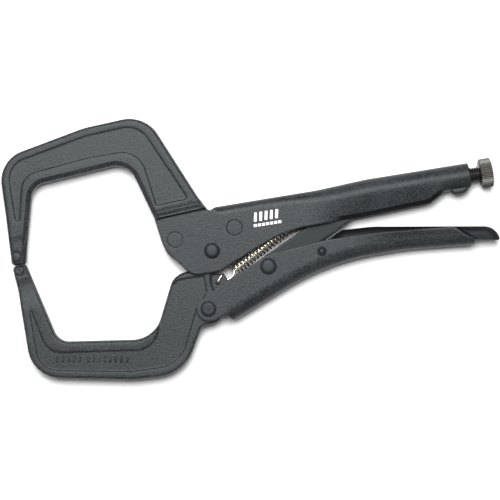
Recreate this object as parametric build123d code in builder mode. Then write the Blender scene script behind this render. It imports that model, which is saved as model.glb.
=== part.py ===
from build123d import *
import os
from math import cos, radians, sin

os.makedirs("parts", exist_ok=True)

# Locking pliers with C-clamp jaws, lying on their side, locked and closed. Millimetres.
# +X runs along the adjusting screw towards its knob, +Y towards the upper jaw, +Z up.

# Heights. Everything is symmetric about the middle plane.
MID = 9.5                   # height of the middle plane; rivet heads reach z = 0 and z = 19
SHEET = 2.5                 # steel sheet of both handles
CHANNEL = 5.0               # half the space between the cheeks
OUTSIDE = CHANNEL + SHEET   # half the width over the cheeks
JAW_ARM = 5.9               # half thickness of the upper arm
LOWER_JAW = 4.7             # half thickness of the lower jaw, free between the cheeks
POCKET = 1.1                # depth of the recess in each face of the jaws
LINK = 3.2                  # half thickness of the toggle link
SLOT = 3.5                  # half width of the slot under the grip
LEVER_OUT = 4.6             # half width over the release lever
LEVER_SHEET = 1.4
SPRING_LUG = 1.6            # half thickness of the thin lug that holds the spring
RUNNING = 0.05              # radial clearance of a pin in its moving piece

# Pivots and rivets in the XY plane.
JAW_PIVOT = (-24.9, -7.4)
HANDLE_PIVOT = (-32.0, -39.2)
LINK_PIVOT = (4.8, -20.9)
LEVER_PIVOT = (35.6, -17.4)
FRONT_RIVET = (-44.3, 1.7)
REAR_RIVET = (-10.5, 3.2)
RIVET_SHANK = 3.5
FLUSH_RIVET = 4.3

# Screw and tube end.
AXIS_Y = 11.5               # the screw's axis, at the middle height
SCREW_R = 4.45
TUBE_R = 7.1
TUBE_START = 111.0
TUBE_END = 124.4
SCREW_TIP = 80.6
KNOB_START = 130.2
KNOB_END = 137.1
KNOB_R = 8.1

# Spring.
SPRING_HOLE = (-24.8, -25.7)
TONGUE_HOLE = (24.5, 0.2)
SPRING_R = 3.0
WIRE_R = 0.55

TIP_MEET = 1.65             # y where the two jaw tips meet
TIP_GAP = 0.3


def outline(*corners):
    """Closed outline through corners given as (x, y, radius)."""
    points = [(x, y) for x, y, _ in corners]
    FilletPolyline(*points, radius=[r for _, _, r in corners], close=True)


def save(piece, name):
    """Label a finished part and write its STEP file."""
    piece.part.label = name
    export_step(piece.part, f"parts/{name}.step")


def near(edges, low, high):
    """Edges whose middle lies in the box between two corners."""
    return [
        e for e in edges
        if all(a <= c <= b for a, c, b in zip(low, tuple(e.center()), high))
    ]


# Upper jaw: arm, shoulder bead and tang in one forging.
UPPER_ARM = (
    (-137.3, TIP_MEET + TIP_GAP / 2, 2.2),
    (-136.2, 30.0, 40.0),
    (-135.7, 61.8, 18.0),
    (-85.0, 72.1, 60.0),
    (-50.0, 74.2, 19.0),
    (-28.4, 24.4, 18.0),
    (-24.9, 18.0, 0.0),
    (-54.9, 16.6, 0.0),
    (-63.8, 48.8, 11.5),
    (-118.5, 44.4, 9.0),
    (-127.2, 10.5, 20.0),
    (-129.0, TIP_MEET + TIP_GAP / 2, 1.6),
)
UPPER_POCKET = (
    (-131.4, 25.9, 2.0),
    (-131.4, 58.4, 13.0),
    (-85.0, 67.7, 60.0),
    (-54.0, 69.7, 14.5),
    (-32.6, 22.9, 2.0),
    (-52.2, 22.0, 1.5),
    (-56.9, 54.6, 13.0),
    (-85.0, 54.3, 60.0),
    (-122.6, 50.3, 10.5),
    (-128.1, 25.9, 1.4),
)
BEAD = ((-54.6, 17.9), (-25.2, 19.3), (-22.8, 15.9), (-53.6, 14.5))
TANG = (
    (-54.0, 16.0, 0.0),
    (-52.2, 1.6, 20.0),
    (-50.3, -5.2, 8.0),
    (-46.2, -10.0, 2.5),
    (-34.0, -9.4, 0.0),
    (-14.0, -3.0, 0.0),
    (-1.0, -3.0, 3.0),
    (-1.0, 13.95, 1.0),
    (-19.8, 13.95, 0.0),
    (-24.4, 17.0, 0.0),
)
HUB_R = 10.0

with BuildPart() as upper_jaw:
    with BuildSketch(Plane.XY.offset(MID)):
        with BuildLine():
            outline(*UPPER_ARM)
        make_face()
    extrude(amount=JAW_ARM, both=True)
    arm_edges = [
        e for e in upper_jaw.edges()
        if abs(abs(e.center().Z - MID) - JAW_ARM) < 0.01 and e.center().Y > 17.5
    ]
    fillet(arm_edges, 1.6)
    with BuildSketch(Plane.XY.offset(MID)):
        with BuildLine():
            Polyline(*BEAD, close=True)
        make_face()
    extrude(amount=OUTSIDE, both=True)
    bead_edges = near(upper_jaw.edges(), (-52, 14.5, -1), (-26, 20, 2.1))
    bead_edges += near(upper_jaw.edges(), (-52, 14.5, 16.9), (-26, 20, 20))
    fillet(bead_edges, 1.2)
    with BuildSketch(Plane.XY.offset(MID)):
        with BuildLine():
            outline(*TANG)
        make_face()
        with Locations(JAW_PIVOT):
            Circle(HUB_R + 0.6, mode=Mode.SUBTRACT)
        with Locations(FRONT_RIVET, REAR_RIVET):
            Circle(FLUSH_RIVET, mode=Mode.SUBTRACT)
    extrude(amount=CHANNEL, both=True)
    for side in (-1, 1):
        face = Plane.XY.offset(MID + side * JAW_ARM)
        with BuildSketch(face):
            with BuildLine():
                outline(*UPPER_POCKET)
            make_face()
        extrude(amount=-side * POCKET, mode=Mode.SUBTRACT)
save(upper_jaw, "upper_jaw")

# Lower jaw: arm, hub round the jaw pivot, boss round the handle pivot and the thin spring lug.
LOWER_ARM = (
    (-137.3, TIP_MEET - TIP_GAP / 2, 2.2),
    (-129.2, TIP_MEET - TIP_GAP / 2, 2.0),
    (-126.8, -8.5, 30.0),
    (-118.0, -44.2, 9.0),
    (-64.8, -51.3, 17.0),
    (-48.9, -18.2, 10.0),
    (-35.0, -15.6, 3.0),
    (-35.0, 2.7, 9.9),
    (-14.8, 2.7, 9.9),
    (-14.8, -17.5, 9.9),
    (-26.4, -17.5, 1.5),
    (-28.3, -27.5, 8.0),
    (-22.9, -35.0, 5.0),
    (-22.9, -48.4, 9.0),
    (-37.0, -48.4, 4.0),
    (-51.4, -73.5, 24.0),
    (-80.0, -72.2, 60.0),
    (-135.9, -61.9, 19.0),
    (-136.1, -12.0, 40.0),
)
LOWER_POCKET = (
    (-131.8, -24.0, 1.2),
    (-129.6, -24.0, 0.9),
    (-124.2, -48.9, 10.5),
    (-67.0, -56.2, 12.0),
    (-49.6, -19.8, 9.0),
    (-31.0, -20.0, 1.5),
    (-31.0, -30.0, 3.0),
    (-38.0, -38.0, 3.0),
    (-52.4, -68.1, 19.0),
    (-80.0, -67.7, 60.0),
    (-131.4, -58.6, 13.0),
)
LUG = (
    (-32.0, -20.3, 0.0),
    (-20.6, -20.9, 1.2),
    (-18.6, -25.6, 1.8),
    (-24.0, -30.5, 2.0),
    (-32.0, -30.5, 0.0),
)

with BuildPart() as lower_jaw:
    with BuildSketch(Plane.XY.offset(MID)):
        with BuildLine():
            outline(*LOWER_ARM)
        make_face()
    extrude(amount=LOWER_JAW, both=True)
    rim = [e for e in lower_jaw.edges() if abs(abs(e.center().Z - MID) - LOWER_JAW) < 0.01]
    fillet(rim, 1.4)
    for side in (-1, 1):
        with BuildSketch(Plane.XY.offset(MID + side * LOWER_JAW)):
            with BuildLine():
                outline(*LOWER_POCKET)
            make_face()
        extrude(amount=-side * POCKET, mode=Mode.SUBTRACT)
    with BuildSketch(Plane.XY.offset(MID)):
        with BuildLine():
            outline(*LUG)
        make_face()
    extrude(amount=SPRING_LUG, both=True)
    with BuildSketch(Plane.XY.offset(MID)):
        with Locations(JAW_PIVOT, HANDLE_PIVOT):
            Circle(RIVET_SHANK + RUNNING)
        with Locations(SPRING_HOLE):
            Circle(WIRE_R + 0.5)
    extrude(amount=OUTSIDE, both=True, mode=Mode.SUBTRACT)
save(lower_jaw, "lower_jaw")

# Upper handle: two cheeks and a web, closed to a slotted grip behind and a tube at the end.
WEB_START = -19.4
CHEEK = (
    (-53.6, 14.0, 1.5),
    (-21.6, 15.5, 0.0),
    (WEB_START, 16.5, 0.0),
    (38.0, 16.8, 90.0),
    (66.0, 18.5, 90.0),
    (TUBE_START + 3.0, AXIS_Y + TUBE_R - 0.1, 0.0),
    (TUBE_START + 3.0, AXIS_Y - TUBE_R + 0.1, 0.0),
    (109.0, 4.4, 6.0),
    (100.0, -0.6, 8.0),
    (61.0, -2.2, 10.0),
    (17.5, -2.5, 70.0),
    (-22.5, -19.4, 13.0),
    (-38.3, -19.4, 10.0),
    (-51.0, -2.2, 12.0),
)
HOLLOW = (
    (-60.0, 20.0, 0.0),
    (WEB_START, 20.0, 0.0),
    (WEB_START, 14.0, 0.0),
    (38.0, 14.3, 90.0),
    (66.0, 16.4, 90.0),
    (TUBE_START, 16.4, 0.0),
    (TUBE_START, 5.0, 0.0),
    (99.0, 1.8, 0.0),
    (60.0, 0.3, 0.0),
    (52.0, -6.0, 0.0),
    (17.5, -30.0, 0.0),
    (-60.0, -30.0, 0.0),
)
LOBE = (
    (TUBE_START + 1.2, 5.8, 0.0),
    (TUBE_START + 2.4, 1.7, 2.5),
    (119.6, 1.7, 3.5),
    (122.8, 5.8, 0.0),
)

with BuildPart() as upper_handle:
    with BuildSketch(Plane.XY.offset(MID)):
        with BuildLine():
            outline(*CHEEK)
        make_face()
        with Locations((WEB_START, 0)):
            Rectangle(400, 100, align=(Align.MIN, Align.CENTER), mode=Mode.INTERSECT)
    extrude(amount=OUTSIDE, both=True)
    web_edges = [
        e for e in upper_handle.edges()
        if abs(abs(e.center().Z - MID) - OUTSIDE) < 0.01 and e.center().Y > 16.2
    ]
    fillet(web_edges, 4.5)
    grip_edges = [
        e for e in upper_handle.edges()
        if abs(abs(e.center().Z - MID) - OUTSIDE) < 0.01
        and e.center().Y < 6 and e.center().X > 62
    ]
    fillet(grip_edges, 2.2)
    with BuildSketch(Plane.XY.offset(MID)):
        with BuildLine():
            outline(*CHEEK)
        make_face()
        with Locations((WEB_START, 0)):
            Rectangle(400, 100, align=(Align.MAX, Align.CENTER), mode=Mode.INTERSECT)
    extrude(amount=OUTSIDE, both=True)
    with BuildSketch(Plane.XY.offset(MID)):
        with BuildLine():
            outline(*HOLLOW)
        make_face()
    extrude(amount=CHANNEL, both=True, mode=Mode.SUBTRACT)
    with BuildSketch(Plane.XY.offset(MID)):
        with Locations(((TUBE_START + 48.0) / 2, -2.0)):
            Rectangle(TUBE_START - 48.0, 13.0)
    extrude(amount=SLOT, both=True, mode=Mode.SUBTRACT)
    with BuildSketch(Plane.YZ.offset(TUBE_START)):
        with Locations((AXIS_Y, MID)):
            Circle(TUBE_R)
    extrude(amount=TUBE_END - TUBE_START)
    with BuildSketch(Plane.YZ.offset(TUBE_START - 1.0)):
        with Locations((AXIS_Y, MID)):
            Circle(SCREW_R + RUNNING)
    extrude(amount=TUBE_END - TUBE_START + 2.0, mode=Mode.SUBTRACT)
    with BuildSketch(Plane.XY.offset(MID)):
        with BuildLine():
            outline(
                (21.5, 14.5, 0.0),
                (27.5, 14.5, 0.0),
                (27.0, -2.6, 2.4),
                (22.0, -2.6, 2.4),
            )
        make_face()
        with Locations(TONGUE_HOLE):
            Circle(WIRE_R + 0.5, mode=Mode.SUBTRACT)
    extrude(amount=SHEET / 2, both=True)
    with BuildSketch(Plane.XY.offset(MID)):
        with BuildLine():
            outline(*LOBE)
        make_face()
    extrude(amount=SLOT, both=True)
    with BuildSketch(Plane.XY.offset(MID)):
        with Locations(JAW_PIVOT):
            Circle(RIVET_SHANK)
        with Locations(FRONT_RIVET, REAR_RIVET):
            Circle(FLUSH_RIVET)
    extrude(amount=OUTSIDE + 1.0, both=True, mode=Mode.SUBTRACT)
save(upper_handle, "upper_handle")

# Lower handle: a channel open towards the upper handle, its cheeks rounded round their pivot.
LOWER_CHEEK = (
    (-41.2, -36.5, 6.5),
    (-19.2, -25.1, 60.0),
    (6.0, -14.5, 14.0),
    (40.0, -11.5, 60.0),
    (72.0, -12.4, 90.0),
    (111.0, -16.4, 6.0),
    (121.1, -25.3, 0.8),
    (120.8, -27.4, 0.0),
    (84.0, -24.2, 150.0),
    (38.7, -24.4, 140.0),
    (-19.2, -48.2, 0.0),
    (-22.0, -44.4, 2.0),
    (-25.2, -44.4, 2.0),
    (-29.0, -46.0, 2.0),
    (-36.0, -46.0, 6.5),
)
LOWER_HOLLOW = (
    (-50.0, -60.0, 0.0),
    (-50.0, 0.0, 0.0),
    (125.0, 0.0, 0.0),
    (125.0, -25.2, 0.0),
    (119.0, -24.8, 0.0),
    (84.0, -21.7, 150.0),
    (38.9, -21.9, 140.0),
    (-18.0, -45.8, 0.0),
    (-25.0, -48.0, 0.0),
    (-35.0, -60.0, 0.0),
)

with BuildPart() as lower_handle:
    with BuildSketch(Plane.XY.offset(MID)):
        with BuildLine():
            outline(*LOWER_CHEEK)
        make_face()
    extrude(amount=OUTSIDE, both=True)
    web_edges = [
        e for e in lower_handle.edges()
        if abs(abs(e.center().Z - MID) - OUTSIDE) < 0.01
        and e.center().Y < -24.0 and -10 < e.center().X < 115
    ]
    fillet(web_edges, 2.0)
    with BuildSketch(Plane.XY.offset(MID)):
        with BuildLine():
            outline(*LOWER_HOLLOW)
        make_face()
    extrude(amount=CHANNEL, both=True, mode=Mode.SUBTRACT)
    with BuildSketch(Plane.XY.offset(MID)):
        with Locations(HANDLE_PIVOT, LINK_PIVOT):
            Circle(RIVET_SHANK)
        with Locations(LEVER_PIVOT):
            Circle(2.0)
    extrude(amount=OUTSIDE + 1.0, both=True, mode=Mode.SUBTRACT)
save(lower_handle, "lower_handle")

# Toggle link: a bar from the lower handle's pivot into the grip, narrower at its far end.
LINK_ANGLE = 25.75
LINK_LENGTH = 75.3
LINK_HALF = 5.75
LINK_END_R = 3.6
link_plane = Plane(
    origin=(*LINK_PIVOT, MID),
    x_dir=(cos(radians(LINK_ANGLE)), sin(radians(LINK_ANGLE)), 0),
    z_dir=(0, 0, 1),
)

with BuildPart() as toggle_link:
    with BuildSketch(link_plane):
        with BuildLine():
            outline(
                (-LINK_HALF, -LINK_HALF, LINK_HALF - 0.1),
                (50.0, -LINK_HALF, 30.0),
                (LINK_LENGTH + LINK_END_R, -LINK_END_R, LINK_END_R - 0.1),
                (LINK_LENGTH + LINK_END_R, LINK_END_R, LINK_END_R - 0.1),
                (50.0, LINK_HALF, 30.0),
                (-LINK_HALF, LINK_HALF, LINK_HALF - 0.1),
            )
        make_face()
        Circle(RIVET_SHANK + RUNNING, mode=Mode.SUBTRACT)
    extrude(amount=LINK, both=True)
    chamfer(toggle_link.faces().filter_by(Axis.Z).edges().filter_by(GeomType.LINE), 0.4)
save(toggle_link, "toggle_link")

# Release lever: a small channel, its web on top and its nose just under the link.
LEVER = (
    (30.4, -22.0, 3.8),
    (30.4, -16.4, 2.0),
    (49.0, -7.45, 1.2),
    (66.4, -8.3, 60.0),
    (135.0, -19.1, 7.0),
    (135.8, -26.9, 0.8),
    (121.6, -24.5, 8.0),
    (100.0, -20.7, 30.0),
    (40.0, -21.6, 20.0),
)
LEVER_HOLLOW = (
    (25.0, -30.0, 0.0),
    (25.0, -18.6, 0.0),
    (49.2, -9.0, 0.5),
    (66.4, -9.8, 60.0),
    (120.0, -18.2, 5.0),
    (121.0, -30.0, 0.0),
)

with BuildPart() as release_lever:
    with BuildSketch(Plane.XY.offset(MID)):
        with BuildLine():
            outline(*LEVER)
        make_face()
    extrude(amount=LEVER_OUT, both=True)
    with BuildSketch(Plane.XY.offset(MID)):
        with BuildLine():
            outline(*LEVER_HOLLOW)
        make_face()
    extrude(amount=LEVER_OUT - LEVER_SHEET, both=True, mode=Mode.SUBTRACT)
    with BuildSketch(Plane.XY.offset(MID)):
        with Locations(LEVER_PIVOT):
            Circle(2.0 + RUNNING)
    extrude(amount=OUTSIDE, both=True, mode=Mode.SUBTRACT)
save(release_lever, "release_lever")


def rivet_profile(shank, head, top, flat):
    """Half section of a rivet: radius across, height from the middle plane."""
    bulge = (head - flat) * 0.30
    middle = (OUTSIDE + top) / 2
    Polyline((0, -top), (flat, -top))
    ThreePointArc((flat, -top), (head - bulge, -middle), (head, -OUTSIDE))
    Polyline((head, -OUTSIDE), (shank, -OUTSIDE), (shank, OUTSIDE), (head, OUTSIDE))
    ThreePointArc((head, OUTSIDE), (head - bulge, middle), (flat, top))
    Polyline((flat, top), (0, top), (0, -top))


def upright(x, y):
    """Plane through (x, y) whose first axis is +X and whose second axis is +Z."""
    return Plane(origin=(x, y, MID), x_dir=(1, 0, 0), z_dir=(0, -1, 0))


# Domed rivets: name, place, head radius, height of the head's top over the middle plane.
DOMED = (
    ("jaw_pivot_rivet", JAW_PIVOT, RIVET_SHANK, 4.4, MID),
    ("handle_pivot_rivet", HANDLE_PIVOT, RIVET_SHANK, 4.4, MID),
    ("link_pivot_rivet", LINK_PIVOT, RIVET_SHANK, 4.6, MID),
    ("release_lever_pin", LEVER_PIVOT, 2.0, 2.7, MID - 0.6),
)
for name, place, shank, head, top in DOMED:
    with BuildPart() as rivet:
        with BuildSketch(upright(*place)):
            with BuildLine():
                rivet_profile(shank, head, top, head * 0.42)
            make_face()
        revolve(axis=Axis((*place, 0), (0, 0, 1)))
    save(rivet, name)

for name, place in (("front_jaw_rivet", FRONT_RIVET), ("rear_jaw_rivet", REAR_RIVET)):
    with BuildPart() as rivet:
        with BuildSketch(Plane.XY.offset(MID)):
            with Locations(place):
                Circle(FLUSH_RIVET)
        extrude(amount=OUTSIDE + 0.15, both=True)
        chamfer(rivet.edges(), 0.15)
    save(rivet, name)

# Adjusting screw and its knob, on one axis along +X.
with BuildPart() as adjusting_screw:
    with BuildSketch(Plane.YZ.offset(SCREW_TIP)):
        with Locations((AXIS_Y, MID)):
            Circle(SCREW_R)
    extrude(amount=KNOB_START - SCREW_TIP)
    chamfer(adjusting_screw.faces().sort_by(Axis.X)[0].edges(), 1.6)
    with BuildSketch(Plane.YZ.offset(KNOB_START)):
        with Locations((AXIS_Y, MID)):
            Circle(3.0)
    extrude(amount=KNOB_END - KNOB_START)
save(adjusting_screw, "adjusting_screw")

with BuildPart() as screw_knob:
    with BuildSketch(Plane.YZ.offset(KNOB_START + 0.05)):
        with Locations((AXIS_Y, MID)):
            Circle(KNOB_R)
    extrude(amount=KNOB_END - KNOB_START - 0.05)
    chamfer(screw_knob.edges(), 0.7)
    with BuildSketch(Plane.YZ.offset(KNOB_START)):
        with Locations((AXIS_Y, MID)):
            Circle(3.0 + RUNNING)
    extrude(amount=KNOB_END - KNOB_START, mode=Mode.SUBTRACT)
save(screw_knob, "screw_knob")

# Return spring: the coil as one closed cylinder, with a wire hook at each end.
spring_dir = Vector(*TONGUE_HOLE) - Vector(*SPRING_HOLE)
spring_length = spring_dir.length
spring_dir = spring_dir.normalized()
COIL_START = 12.0
COIL_END = spring_length - 6.0
HOOK_RISE = SPRING_LUG + WIRE_R + 0.25


def along(distance, height=0.0):
    """Point on the spring's axis, at a distance from the lug's hole."""
    return Vector(*SPRING_HOLE, MID + height) + spring_dir * distance


with BuildPart() as return_spring:
    with BuildSketch(Plane(origin=along(COIL_START), x_dir=(0, 0, 1), z_dir=spring_dir)):
        Circle(SPRING_R)
    extrude(amount=COIL_END - COIL_START)
    with BuildLine() as front_hook:
        FilletPolyline(
            along(COIL_START + 1.0, HOOK_RISE),
            along(0.0, HOOK_RISE),
            along(0.0, -HOOK_RISE),
            radius=WIRE_R * 1.6,
        )
    with BuildSketch(Plane(origin=front_hook.line @ 0, z_dir=front_hook.line % 0)):
        Circle(WIRE_R)
    sweep(path=front_hook.line)
    with BuildLine() as rear_hook:
        FilletPolyline(
            along(COIL_END - 1.0, HOOK_RISE),
            along(spring_length, HOOK_RISE),
            along(spring_length, -HOOK_RISE),
            radius=WIRE_R * 1.6,
        )
    with BuildSketch(Plane(origin=rear_hook.line @ 0, z_dir=rear_hook.line % 0)):
        Circle(WIRE_R)
    sweep(path=rear_hook.line)
save(return_spring, "return_spring")
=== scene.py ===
# %% [markdown]
# # Locking pliers with C-clamp jaws
# The tool lies on its side, locked, with its jaws closed. A design model already fixes every place, size
# and pivot. This lesson loads it, and then makes the surfaces: two drop-forged jaws, two pressed-steel
# handles, a toggle link, a release lever, an adjusting screw, a return spring and the rivets between them.

# %% Load the design model
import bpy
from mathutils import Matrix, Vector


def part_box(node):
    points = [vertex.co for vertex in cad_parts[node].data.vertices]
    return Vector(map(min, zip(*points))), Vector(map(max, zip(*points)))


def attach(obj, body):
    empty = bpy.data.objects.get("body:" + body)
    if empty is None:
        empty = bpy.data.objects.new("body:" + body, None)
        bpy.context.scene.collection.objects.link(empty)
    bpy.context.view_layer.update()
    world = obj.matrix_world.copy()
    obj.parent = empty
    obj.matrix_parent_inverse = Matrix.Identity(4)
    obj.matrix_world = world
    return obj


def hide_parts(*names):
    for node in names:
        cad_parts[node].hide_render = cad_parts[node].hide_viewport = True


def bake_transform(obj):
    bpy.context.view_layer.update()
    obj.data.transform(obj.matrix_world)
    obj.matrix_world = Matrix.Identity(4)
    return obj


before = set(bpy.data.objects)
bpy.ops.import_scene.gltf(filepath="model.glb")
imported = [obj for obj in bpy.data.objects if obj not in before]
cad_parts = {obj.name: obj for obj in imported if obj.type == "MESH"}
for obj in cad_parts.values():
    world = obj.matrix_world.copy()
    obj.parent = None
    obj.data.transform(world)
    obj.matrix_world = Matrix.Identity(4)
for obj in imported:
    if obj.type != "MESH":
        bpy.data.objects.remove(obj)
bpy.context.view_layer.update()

# %% Tools and units
import math

import bmesh
import bpy
import numpy as np
from mathutils import Vector
from mathutils.geometry import delaunay_2d_cdt
from mathutils.kdtree import KDTree

MM = 0.001
SHEET = 2.5
scene = bpy.context.scene


def centre(node):
    """Middle of a design node's box, in mm."""
    low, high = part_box(node)
    return np.array((low + high) / 2) / MM


def half_width(node):
    """Half of a design node's height over the middle plane, in mm."""
    low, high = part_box(node)
    return (high.z - low.z) / 2 / MM


MIDDLE = centre("upper_jaw")[2]
OUTSIDE = half_width("upper_handle")
print(f"middle plane at {MIDDLE:.2f} mm, cheeks {OUTSIDE:.2f} mm out from it")

# %% [markdown]
# ## Camera, floor and light
# A tool like this is shown from straight above, turned a few degrees, in the even light of a big soft box.
# The box leans over the far side, so that walls which face it are light and walls which face away are dark.
# A long lens keeps the sides of the jaws from showing.

# %% Place the camera
TURN = math.radians(9.1)
VIEW_CENTRE = (-3.9, -10.4)
VIEW_WIDTH = 281.1
VIEW_DISTANCE = 1100.0
SENSOR = 36.0
camera = bpy.data.objects.new("camera", bpy.data.cameras.new("camera"))
scene.collection.objects.link(camera)
camera.location = (VIEW_CENTRE[0] * MM, VIEW_CENTRE[1] * MM, (MIDDLE + VIEW_DISTANCE) * MM)
camera.rotation_euler = (0, 0, -TURN)
camera.data.sensor_width = SENSOR
camera.data.lens = SENSOR * VIEW_DISTANCE / VIEW_WIDTH
scene.camera = camera
print(f"lens {camera.data.lens:.1f} mm")

# %% Lay the floor and hang the light
WORLD_LIGHT = 0.22
FLOOR_HALF = 1.5
UP = Vector((math.sin(TURN), math.cos(TURN), 0))
RIGHT = Vector((math.cos(TURN), -math.sin(TURN), 0))


def soft_box(name, towards, height, width, power):
    """A square light aimed at the tool, placed by the view's right and up and a height, in metres."""
    data = bpy.data.lights.new(name, "AREA")
    data.size = width
    data.energy = power
    lamp = bpy.data.objects.new(name, data)
    scene.collection.objects.link(lamp)
    lamp.location = RIGHT * towards[0] + UP * towards[1] + Vector((0, 0, height))
    lamp.rotation_euler = (-lamp.location).to_track_quat("-Z", "Y").to_euler()


soft_box("main_soft_box", (-0.08, 0.38), 1.2, 0.65, 36.0)
scene.world = bpy.data.worlds.new("studio")
scene.world.use_nodes = True
background = scene.world.node_tree.nodes["Background"]
background.inputs["Color"].default_value = (1, 1, 1, 1)
background.inputs["Strength"].default_value = WORLD_LIGHT
scene.view_settings.view_transform = "Standard"

floor_mesh = bpy.data.meshes.new("floor")
corners = [(x * FLOOR_HALF, y * FLOOR_HALF, 0) for x, y in ((-1, -1), (1, -1), (1, 1), (-1, 1))]
floor_mesh.from_pydata(corners, [], [(0, 1, 2, 3)])
floor = bpy.data.objects.new("floor", floor_mesh)
scene.collection.objects.link(floor)

# %% [markdown]
# ## A small language for nodes
# Both finishes and repeated shapes are made with nodes, and long chains of them are hard to read. A `Wire`
# is one socket's value. Adding or multiplying wires adds the Math nodes, so a recipe reads like a formula.

# %% Wires and boards
class Wire:
    """The value at a node's output."""

    def __init__(self, board, socket):
        self.board = board
        self.socket = socket

    def maths(self, operation, first, second):
        return self.board.node("ShaderNodeMath", {"operation": operation}, {0: first, 1: second})

    def __add__(self, other):
        return self.maths("ADD", self, other)

    def __sub__(self, other):
        return self.maths("SUBTRACT", self, other)

    def __rsub__(self, other):
        return self.maths("SUBTRACT", other, self)

    def __mul__(self, other):
        return self.maths("MULTIPLY", self, other)

    __radd__ = __add__
    __rmul__ = __mul__


class Board:
    """A node tree and the one method that adds to it."""

    def __init__(self, tree):
        self.tree = tree

    def feed(self, socket, value):
        if isinstance(value, Wire):
            self.tree.links.new(value.socket, socket)
        else:
            socket.default_value = value

    def node(self, kind, settings=None, inputs=None, output=0):
        made = self.tree.nodes.new(kind)
        for key, value in (settings or {}).items():
            setattr(made, key, value)
        for key, value in (inputs or {}).items():
            self.feed(made.inputs[key], value)
        return Wire(self, made.outputs[output])


print("wires and boards are ready")

# %% [markdown]
# ## Finishes
# The steel is phosphated and oiled: a dark grey with a breath of green, dull, and speckled where the
# crystals of the coat catch the light. Two scales of noise make it: speckle, which also tilts the surface,
# and cloudy patches of oil. Both read Object coordinates, so nothing stretches. A number stored in the mesh
# paints shade: it darkens the places that lie in shadow, and is nothing where a piece has none.

# %% The phosphate coat
class Finish(Board):
    """A material with a Principled shader."""

    def __init__(self, name):
        self.material = bpy.data.materials.new(name)
        self.material.use_nodes = True
        super().__init__(self.material.node_tree)
        self.shader = self.tree.nodes["Principled BSDF"]

    def set(self, **values):
        for key, value in values.items():
            self.feed(self.shader.inputs[key.replace("_", " ")], value)

    def noise(self, scale, detail, rough=0.5):
        place = self.node("ShaderNodeTexCoord", output="Object")
        inputs = {"Vector": place, "Scale": scale, "Detail": detail, "Roughness": rough}
        return self.node("ShaderNodeTexNoise", None, inputs)

    def blend(self, first, second, share):
        made = self.tree.nodes.new("ShaderNodeMix")
        made.data_type = "RGBA"
        colours = [s for s in made.inputs if s.type == "RGBA"]
        self.feed(made.inputs[0], share)
        for socket, value in zip(colours, (first, second)):
            self.feed(socket, value)
        return Wire(self, next(s for s in made.outputs if s.type == "RGBA"))

    def bump(self, height, strength, distance):
        inputs = {"Height": height, "Strength": strength, "Distance": distance}
        self.set(Normal=self.node("ShaderNodeBump", None, inputs))


# Near-black painted shade, laid where the mesh's number says that a piece lies in shadow.
PAINTED_SHADE_COLOUR = (0.002, 0.002, 0.002, 1)
SHEEN_TINT = (0.90, 0.98, 1.0, 1)
BUMP_REACH = 0.0002


def phosphate(name, dark, light, grain, rough, depth, sheen=0.15):
    """Dark conversion coat: speckled colour, cloudy oil, a fine grain and painted shade from the mesh."""
    coat = Finish(name)
    speckle = coat.noise(grain, 3.0, 0.65)
    oil = coat.noise(45.0, 3.0)
    share = (speckle - 0.5) * 2.6 + (oil - 0.5) * 0.7 + 0.5
    # The mesh's number paints shade: it blends the coat towards near black and dulls it.
    painted_shade = coat.node("ShaderNodeAttribute", {"attribute_name": "painted_shade"}, output="Fac")
    clean = coat.blend((*dark, 1), (*light, 1), share)
    coat.set(Base_Color=coat.blend(clean, PAINTED_SHADE_COLOUR, painted_shade))
    coat.set(Roughness=rough + (oil - 0.5) * 0.2 + (speckle - 0.5) * 0.6 + painted_shade * 0.4)
    coat.set(Specular_IOR_Level=sheen, Specular_Tint=SHEEN_TINT)
    coat.bump(speckle, depth, BUMP_REACH)
    return coat.material


COATS = [phosphate(*row) for row in (
    ("jaw_phosphate", (0.004, 0.005, 0.0055), (0.037, 0.041, 0.042), 1050.0, 0.42, 0.9),
    ("handle_phosphate", (0.005, 0.006, 0.0065), (0.032, 0.035, 0.037), 1100.0, 0.40, 0.9),
    ("lever_phosphate", (0.004, 0.005, 0.006), (0.021, 0.023, 0.025), 1150.0, 0.40, 0.6, 0.06),
    ("rivet_phosphate", (0.007, 0.008, 0.010), (0.021, 0.024, 0.027), 1400.0, 0.44, 0.3),
    ("link_phosphate", (0.005, 0.006, 0.007), (0.023, 0.026, 0.027), 1100.0, 0.42, 0.6, 0.10),
    ("screw_oiled_steel", (0.004, 0.0035, 0.003), (0.020, 0.017, 0.014), 2200.0, 0.34, 0.3),
    ("knob_worn_steel", (0.020, 0.019, 0.017), (0.115, 0.109, 0.098), 1600.0, 0.36, 0.3, 0.4),
)]
JAW_COAT, HANDLE_COAT, LEVER_COAT, RIVET_COAT, LINK_COAT, SCREW_COAT, KNOB_COAT = COATS
print("coats:", [coat.name for coat in COATS])

# %% Bare spring wire, white ink and the floor
wire = Finish("spring_wire")
drawn = wire.noise(2500.0, 2.0)
wire.set(Base_Color=wire.blend((0.55, 0.50, 0.42, 1), (0.90, 0.85, 0.74, 1), drawn), Metallic=1.0)
wire.set(Roughness=0.22 + drawn * 0.2)
SPRING_WIRE = wire.material

ink = Finish("white_ink")
patches = ink.noise(900.0, 3.0)
ink.set(Base_Color=ink.blend((0.62, 0.63, 0.62, 1), (0.85, 0.86, 0.85, 1), patches))
ink.set(Roughness=0.5 + patches * 0.2)
WHITE_INK = ink.material

paper = Finish("pale_floor")
fibres = paper.noise(6.0, 2.0)
paper.set(Base_Color=paper.blend((0.79, 0.79, 0.79, 1), (0.81, 0.81, 0.81, 1), fibres), Roughness=0.9)
floor_mesh.materials.append(paper.material)
print("wire, ink and paper")

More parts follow.
